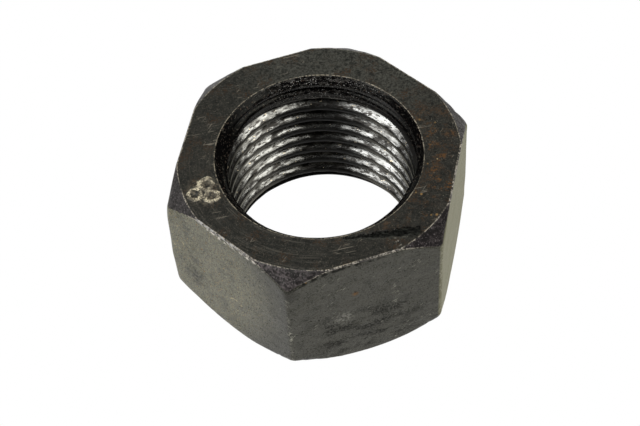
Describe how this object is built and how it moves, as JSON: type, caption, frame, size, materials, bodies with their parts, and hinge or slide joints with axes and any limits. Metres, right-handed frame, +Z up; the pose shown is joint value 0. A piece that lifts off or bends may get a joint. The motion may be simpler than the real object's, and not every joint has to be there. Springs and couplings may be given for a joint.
{
  "type": "hex nut",
  "caption": "Hexagon nut with a right-hand fine metric thread, chamfered ends and a countersunk bore.",
  "frame": {"origin": "centre of the bottom bearing face, on the thread axis", "axes": "+Z up along the thread axis towards the top face, +X through the middle of a flat, +Y through a corner"},
  "size_m": [0.032, 0.0368, 0.019],
  "materials": {
    "black_oxide_steel": "black oxide on forged steel, oiled, worn along the edges and thread crests"
  },
  "bodies": {
    "root": {"nut_body": "black_oxide_steel"}
  },
  "joints": []
}
